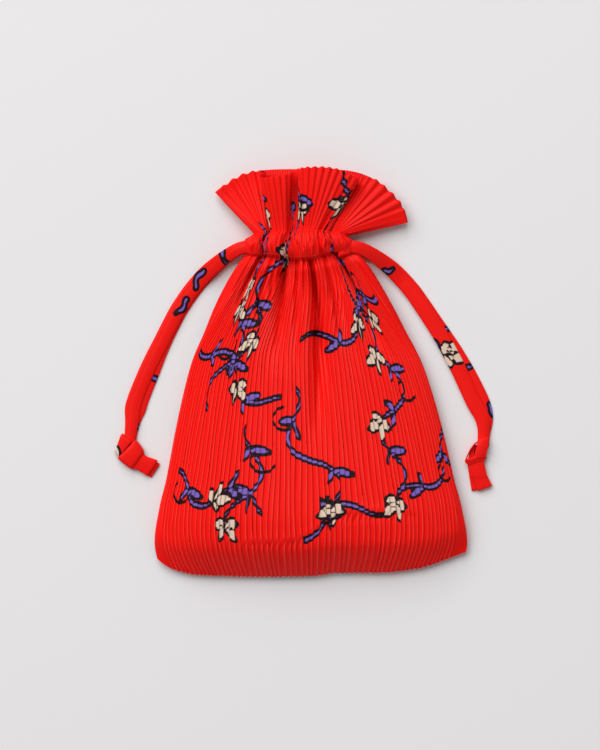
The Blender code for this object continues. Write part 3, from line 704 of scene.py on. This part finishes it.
def body_row(u, share, front, notch):
    """A row of the body's surface, before it is pleated. The notch moves the crease up on each pleat."""
    rise = curve(BOTTOM_RISE, u)
    y = rise + (BODY_LENGTH - rise) * share
    up = y / BODY_LENGTH
    half = (CASING_WIDTH + (BODY_WIDTH - CASING_WIDTH) * curve(WIDTH_PROFILE, up)) / 2
    neck = eased((up - NECK_FROM) / (1 - NECK_FROM))
    t = 2 * u - 1
    spread = t * (1 + 0.22 * (1 - t * t))
    # Near the bottom seam the pleats lean inwards, and leave the corners smooth.
    inwards = 0.08 * np.clip(1 - share / 0.24, 0, 1) ** 1.6
    spread = spread * (1 - inwards * (1 - np.abs(spread) ** 12))
    across = spread * (1 - neck) + (2 * curve(GATHERED, u) - 1) * neck
    x = lean_at(up) + half * across
    s = (across + 1) / 2
    seam = SEAM_HEIGHT + (NECK_SEAM_HEIGHT - SEAM_HEIGHT) * neck
    if front:
        top = curve(CROWN_PROFILE, share) * BODY_THICKNESS
        edge = seam + SEAM_THICKNESS / 2
        z = edge + (top - edge) * crowned(across, 2.8 + 2.2 * neck, 0.62 - 0.12 * neck)
        z += curve(CASING_FOLDS, s) * eased((share - 0.86) / 0.14)
        for start, end, low, deep, wide in VALLEYS:
            down = np.clip((1 - share) / (1 - low), 0, 1)
            place = start + (end - start) * down
            fade = (1 - eased(down)) ** 0.7 * (1 - 0.5 * eased((share - 0.93) / 0.07))
            z -= deep * fade * np.exp(-(((s - place) / (wide * (1 + 0.4 * down))) ** 2))
        # Soft folds run down from the casing.
        folds = 0.9 * np.sin(2 * math.pi * (s * 17 + 0.4 * np.sin(s * 11)))
        z += folds * eased((share - 0.72) / 0.28) * crowned(across, 6.0, 0.5)
        # The crease above the bottom seam steps down, and shifts each pleat a little.
        above = (y - rise - curve(CREASE_LINE, u) - 4.2 * notch) / 2.2
        creased = curve(CREASE_DEPTH, u)
        z += creased * above * np.exp(0.5 - above**2 / 2)
        x = x + 1.2 * creased * np.exp(-above**2)
    else:
        edge = seam - SEAM_THICKNESS / 2
        lift = edge * (1 - eased(share / 0.05)) + 0.7 * neck
        z = edge + (lift - edge) * crowned(across, 5.0, 0.5)
    # The bottom seam is soft and sags towards the table.
    z = z * (0.68 + 0.32 * eased(share / 0.1))
    # The stitches pinch the cloth where the body meets the casing.
    y = y + curve(LOWER_STITCHES, s) * eased((share - 0.82) / 0.18)
    z += (-2.7 if front else 0.6) * eased((share - 0.965) / 0.035) * crowned(across, 6.0, 0.5)
    return np.column_stack((x, y, z))


def casing_row(u, share, front):
    """A row of the casing, which swells between its two rows of stitches."""
    across = 2 * curve(GATHERED, u) - 1
    s = (across + 1) / 2
    swell = (4 * share * (1 - share)) ** 0.45
    half = (CASING_WIDTH + (THROAT_WIDTH - CASING_WIDTH) * max(0.0, 2 * share - 1)) / 2
    x = lean_at(1.0) - 1.2 * swell + half * across
    y = BODY_LENGTH + CASING_HEIGHT * share
    y = y + curve(LOWER_STITCHES, s) * (1 - share) + curve(UPPER_STITCHES, s) * share
    z = neck_height(across, front, CASING_PUFF * swell)
    if front:
        z -= 2.7 * (1 - swell) * crowned(across, 6.0, 0.5)
        # The ribbon inside shows as a low ridge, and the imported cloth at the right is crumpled.
        z += 0.5 * np.exp(-(((share - 0.42) / 0.3) ** 2)) * crowned(across, 8.0, 0.5)
        # Each puff lies in a few rounded folds that lean and bend a little, under the fine pleats.
        place = s * 17 + 0.6 * np.sin(s * 9) + 0.5 * share + 0.25 * np.sin(share * 5 + s * 21)
        bulge = np.abs(np.sin(math.pi * place)) ** 0.6
        z += 1.7 * (bulge - 0.7) * swell * crowned(across, 8.0, 0.5)
        crushed = np.exp(-(((s - 0.76) / 0.07) ** 2))
        z += crushed * 0.6 * np.sin(share * 12 + s * 50) + 0.5 * np.sin(share * 7 + s * 33) * np.sin(s * 81)
        x = x + (crushed * 0.3 + 0.35) * np.sin(share * 6.5 + s * 38) * swell
    else:
        z += 0.6 * (1 - swell)
    return np.column_stack((x, y, z))


def frill_row(u, share, front):
    """A row of the frill, which fans out from the casing."""
    start = casing_row(u, 1.0, front)
    edge = FRONT_EDGE if front else BACK_EDGE
    places = [row[0] for row in edge]
    x, up, z = (curve([(p, row[k]) for p, row in zip(places, edge)], u) for k in (1, 2, 3))
    top = np.column_stack((x, BODY_LENGTH + CASING_HEIGHT + up, z))
    row = start + (top - start) * share
    row[:, 2] = start[:, 2] + (top[:, 2] - start[:, 2]) * eased(share**0.8)
    return row


def pleat_columns(per_pleat):
    """Share across the cloth, rise, painted highlight on the pressed edge, and place on the flat cloth, for each
    column.
    """
    keep = range(8) if per_pleat == 8 else (0, 2, 5, 6)
    at, rise, highlight_at, cloth = (np.array(row)[list(keep)] for row in (PLEAT_AT, PLEAT_RISE, PLEAT_HIGHLIGHT, PLEAT_CLOTH))
    u = np.concatenate([(k + at) / PLEATS for k in range(PLEATS)] + [[1.0]])
    flat = np.concatenate([k * CLOTH_PER_PLEAT + cloth for k in range(PLEATS)] + [[PLEATS * CLOTH_PER_PLEAT]])
    return u, np.append(np.tile(rise, PLEATS), 0.0), np.append(np.tile(highlight_at, PLEATS), 0.0), flat


def fold_row(row, rise, depth, up):
    """Pleats a row: moves each point square to the row by its share of the pleat's depth."""
    along = np.gradient(row, axis=0)
    square = np.column_stack((-along[:, 2], np.zeros(len(row)), along[:, 0]))
    square /= np.linalg.norm(square, axis=1)[:, None]
    return row + square * ((rise - 0.5) * depth)[:, None] + np.array((0, 0, 1.0)) * (up * depth / 2)[:, None]


def pleated_panel(front, per_pleat, body_rows, casing_rows, frill_rows, inner_rows):
    """Rows of points of one side of the bag, their places on the flat cloth and the highlight painted on their pleats'
    edges.
    """
    u, rise, highlight_at, flat = pleat_columns(per_pleat)
    pleat = np.floor(np.clip(u, 0, 0.99999) * PLEATS)
    # Pleats are never quite even: each wanders a little along its length, and its neighbours follow.
    uneven = 1 + 0.10 * np.sin(pleat * 2.4) + 0.08 * np.sin(pleat * 5.9 + 1)
    inside = np.clip(np.minimum(u, 1 - u) / 0.08, 0, 1)

    def hemmed(wide):
        """0 on the smooth hems at both sides, and 1 where the cloth is pleated."""
        return eased((np.minimum(u, 1 - u) - 0.003 - 0.013 * wide) / 0.014)

    def pitch_of(row):
        """Distance between pleats along a row, evened out over two pleats."""
        pitch = np.linalg.norm(np.gradient(row, axis=0), axis=1) / np.gradient(u) / PLEATS
        window = np.ones(2 * per_pleat + 1) / (2 * per_pleat + 1)
        return np.convolve(np.pad(pitch, per_pleat, mode="edge"), window, "valid")

    def packed(row):
        """Less than 1 where the pleats are packed, so that they get lower."""
        return np.clip(pitch_of(row) / PACKED_PITCH, 0.15, 1.0)

    rounded = 0.5 - 0.5 * np.cos(2 * math.pi * (u * PLEATS - pleat - 0.12))
    up = np.zeros(len(u)) if front else np.ones(len(u))
    rows, cloth, edges = [], [], []

    def keep(row, along, pressed):
        """Keeps a row, how far up the flat cloth it lies, and how strongly a highlight is painted on its pleats'
        edges.
        """
        rows.append(row)
        cloth.append(np.column_stack((flat, np.full(len(u), along))))
        edges.append(highlight_at * pressed)

    for share in np.linspace(0, 1, body_rows) ** 0.97:
        deep = np.interp(share, (0, 0.04, 0.6, 0.9, 1.0), (0.55, 1.0, 1.0, 1.0, 0.7))
        y = share * BODY_LENGTH
        wander = 0.0017 * np.sin(y / 15 + pleat * 0.9) + 0.0013 * np.sin(y / 34 - pleat * 0.55)
        wander = wander + 0.0016 * np.sin(pleat * 1.9)
        place = np.clip(u + wander * inside, 0, 1)
        hem = hemmed(max(2.6 * (1 - eased(share / 0.28)), eased((share - 0.8) / 0.15)))
        row = body_row(place, share, front, (rise - 0.5) * hem)
        row = fold_row(row, rise, PLEAT_DEPTH * deep * uneven * hem * packed(row), up)
        row[:, 1] += (0.9 * (0.5 - rise) * (1 - eased(share / 0.03))) * hem
        keep(row, y, hem * (1.0 + 0.3 * np.sin(y / 9 + pleat * 2.1)))
    hem = hemmed(1.0)
    for share in np.linspace(0, 1, casing_rows + 1)[1:]:
        crush = 0.5 + 0.3 * np.sin(pleat * 3.1 + share * 4) + 0.25 * np.sin(pleat * 1.3 - share * 7)
        row = casing_row(u, share, front)
        height = BODY_LENGTH + share * CASING_HEIGHT
        crush = 1.4 * PLEAT_DEPTH * np.maximum(crush, 0.25) * packed(row)
        keep(fold_row(row, rise, crush * hem, up), height, 0.7 * hem)
    # The frill's pleats open out towards its edge, and those inside its folds stay packed.
    for share in np.linspace(0, 1, frill_rows + 1)[1:]:
        row = frill_row(u, share, front)
        pitch = pitch_of(row)
        shape = rise + (rounded - rise) * (0.3 + 0.6 * share)
        deep = 0.19 * np.clip(pitch, 1.0, 7.0) + 0.35
        row = fold_row(row, shape, deep * uneven * hem, up)
        row[:, 1] += 0.2 * pitch * share**3 * (shape - 0.6) * hem
        keep(row, BODY_LENGTH + CASING_HEIGHT + share * CLOTH_IN_FRILL, hem * (0.55 - 0.45 * share))
    # The frill's inside follows its outside down into the throat, 0.45 mm within.
    outside = rows[-frill_rows:]
    side = -1 if front else 1
    floor = neck_height(np.array([0.0]), True, 0.0)[0] / 2
    for share in np.linspace(1, 0.08, inner_rows):
        place = share * (frill_rows - 1)
        low = int(place)
        high = min(low + 1, frill_rows - 1)
        row = outside[low] + (outside[high] - outside[low]) * (place - low)
        row[:, 0] *= 0.994
        row[:, 1] -= 0.25
        row[:, 2] += side * 0.45
        row[:, 2] += (floor - side * 0.4 - row[:, 2]) * (1 - share) ** 2
        keep(row, BODY_LENGTH + CASING_HEIGHT + share * CLOTH_IN_FRILL, 0.1 * hem)
    return np.array(rows), np.array(cloth), np.array(edges)


def panel_piece(name, panel, first, last, shift, outward):
    """Some rows of one side of the bag as a mesh."""
    rows, cloth, edges = (part[first:last] for part in panel)
    count, width = rows.shape[:2]
    corner = (np.arange(count - 1)[:, None] * width + np.arange(width - 1)[None, :]).ravel()
    faces = np.column_stack((corner, corner + 1, corner + width + 1, corner + width))
    if not outward:
        faces = faces[:, ::-1]
    points = rows.reshape(-1, 3) - (0, MIDDLE_Y, 0)
    piece = cloth_piece(name, points, faces.tolist(), cloth.reshape(-1, 2) + shift, pleated_cloth, edges.ravel())
    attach(piece, "root")
    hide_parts("pouch_body")
    return piece


pleated_cloth = printed_polyester("pleated_printed_polyester", ("#EC100D", "#F41710"), 0.3)
# Rows of points in the body, the casing, the frill and the frill's inside
FRONT_ROWS = (150, 20, 34, 10)
BACK_ROWS = (100, 14, 30, 10)
front_panel = pleated_panel(True, 8, *FRONT_ROWS)
back_panel = pleated_panel(False, 4, *BACK_ROWS)
# The back is cut from another place of the printed cloth.
for side, panel, (body, casing, *_), shift in (
    ("front", front_panel, FRONT_ROWS, (0, 0)), ("back", back_panel, BACK_ROWS, (83.0, 40.0)),
):
    panel_piece(f"bag_{side}", panel, 0, body + casing, shift, side == "front")
    panel_piece(f"frill_{side}", panel, body + casing - 1, None, shift, side == "front")

# Stitches
# Polyester thread in the cloth's red. It holds the casing's two rows of stitches and the frill's side hems.
THREAD = 0.3
STITCH = 1.7
STITCH_PITCH = 2.5
thread, tree, shader = new_material("red_polyester_thread")
# The ply of the thread is 0.15 mm, too fine to show, so it is drawn as soft bands along each stitch.
place = add(tree, "TexCoord")
ply = add(tree, "TexNoise", {"Vector": place.outputs["Object"], "Scale": 900.0, "Detail": 2.0})
dyed = mix(tree, ply.outputs["Fac"], linear("#E4141A"), linear("#FF4A40"))
plug(tree, shader, {"Base Color": dyed, "Roughness": 0.5, "Specular IOR Level": 0.2})


def stitch_corners(path, upward):
    """Corners of a row of stitches along a path on the cloth, 16 to each stitch."""
    along = run_of(path)
    corners = []
    for start in np.arange(0.6, along[-1] - 1.8, STITCH_PITCH):
        ends = [np.array([np.interp(at, along, path[:, k]) for k in range(3)]) for at in (start, start + STITCH)]
        run = (ends[1] - ends[0]) / max(np.linalg.norm(ends[1] - ends[0]), 1e-6)
        side = np.cross(run, (0, 0, 1.0))
        side /= max(np.linalg.norm(side), 1e-6)
        rise = np.cross(side, run) * upward
        # Both ends dip into the cloth.
        for end, lift in ((ends[0], -0.1), (ends[0] + run * 0.3, 0.2), (ends[1] - run * 0.3, 0.2), (ends[1], -0.1)):
            for across, high in ((-0.5, 0.0), (0.0, 0.6), (0.5, 0.0), (0.0, -0.6)):
                corners.append(end + side * across * THREAD + rise * (lift + high * THREAD))
    return corners


def stitches(name, paths):
    """All rows of stitches of one part of the bag, as one mesh."""
    corners = [corner for path, upward in paths for corner in stitch_corners(path, upward)]
    stitch = np.array(ring_faces(4, 4) + [(3, 2, 1, 0), (12, 13, 14, 15)])
    faces = (stitch + np.arange(0, len(corners), 16)[:, None, None]).reshape(-1, 4).tolist()
    mesh = bpy.data.meshes.new(name)
    mesh.from_pydata((np.array(corners) - (0, MIDDLE_Y, 0)) * MM, [], faces)
    mesh.materials.append(thread)
    mesh.update()
    obj = bpy.data.objects.new(name, mesh)
    bpy.context.scene.collection.objects.link(obj)
    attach(obj, "root")
    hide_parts("pouch_body")


# The casing is stitched along both its edges, and the frill's hems a few points in from its sides.
casing_paths, hem_paths = [], []
for rows, (body, casing, frill, _), upward, hem in (
    (front_panel[0], FRONT_ROWS, 1, 6), (back_panel[0], BACK_ROWS, -1, 3),
):
    casing_paths += [(rows[body + 1], upward), (rows[body + casing - 2], upward)]
    hemmed_rows = slice(body + casing + 1, body + casing + frill - 1)
    hem_paths += [(rows[hemmed_rows, hem], upward), (rows[hemmed_rows, -hem - 1], upward)]
stitches("casing_stitches", casing_paths)
stitches("hem_stitches", hem_paths)

# Mouths of the casing
# At both sides the hemmed ends of the casing make short flat sleeves, one in front and one behind, and the
# ribbons come out of them.
SLEEVES = [(route, height) for route in (LEFT_ROUTE, RIGHT_ROUTE) for height in (FRONT_TUNNEL_Z, BACK_TUNNEL_Z)]
# (mm out of the casing, half width, half height), and then back inside the mouth
SLEEVE_PROFILE = (
    (-8.0, 7.0, 0.6), (-7.4, 7.2, 1.5), (-6.4, 7.0, 2.2), (-5.0, 6.5, 2.5), (-3.2, 5.9, 2.3), (-1.8, 5.4, 2.0),
    (-0.8, 5.0, 1.65), (-0.3, 4.8, 1.4), (-0.1, 4.6, 1.2), (-0.4, 4.5, 1.1), (-2.0, 4.5, 1.1), (-4.0, 4.5, 1.1),
)
AROUND = 40  # points around each sleeve
UNPRINTED = 1000  # mm across to a part of the cloth that no stem crosses
sleeves = []
for number, (route, height) in enumerate(SLEEVES):
    start = np.array(route[0])
    # The sleeve points halfway between the casing's run and the ribbon's.
    out = (np.array(route[1]) - start) / np.linalg.norm(np.subtract(*route[:2]))
    out = (out + (1.0 if route is RIGHT_ROUTE else -1.0, 0.0)) / 2
    out /= np.linalg.norm(out)
    across = np.array((-out[1], out[0]))
    around = np.linspace(0, 2 * math.pi, AROUND, endpoint=False)
    wide = np.sign(np.cos(around)) * np.abs(np.cos(around)) ** 0.6
    tall = np.sign(np.sin(around)) * np.abs(np.sin(around)) ** 0.8
    points, places = [], []
    for ahead, half_wide, half_tall in SLEEVE_PROFILE:
        # Soft folds run into the sleeve from the gathers.
        puckered = 1 + 0.16 * np.sin(around * 5 + number) * np.clip(-ahead / 8, 0, 1)
        centre = start + out * ahead
        flat = centre + across * (wide * half_wide)[:, None]
        points.append(np.column_stack((flat, height + tall * half_tall * puckered)))
        places.append(np.column_stack((UNPRINTED + wide * half_wide, np.full(AROUND, ahead + 45.0 * number))))
    points, places = np.concatenate(points), np.concatenate(places)
    faces = ring_faces(len(SLEEVE_PROFILE), AROUND)
    sleeves.append(cloth_piece(f"sleeve_{number}", points, faces, places, pleated_cloth))
sleeves = join("casing_mouths", sleeves)
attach(sleeves, "root")
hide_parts("pouch_body")
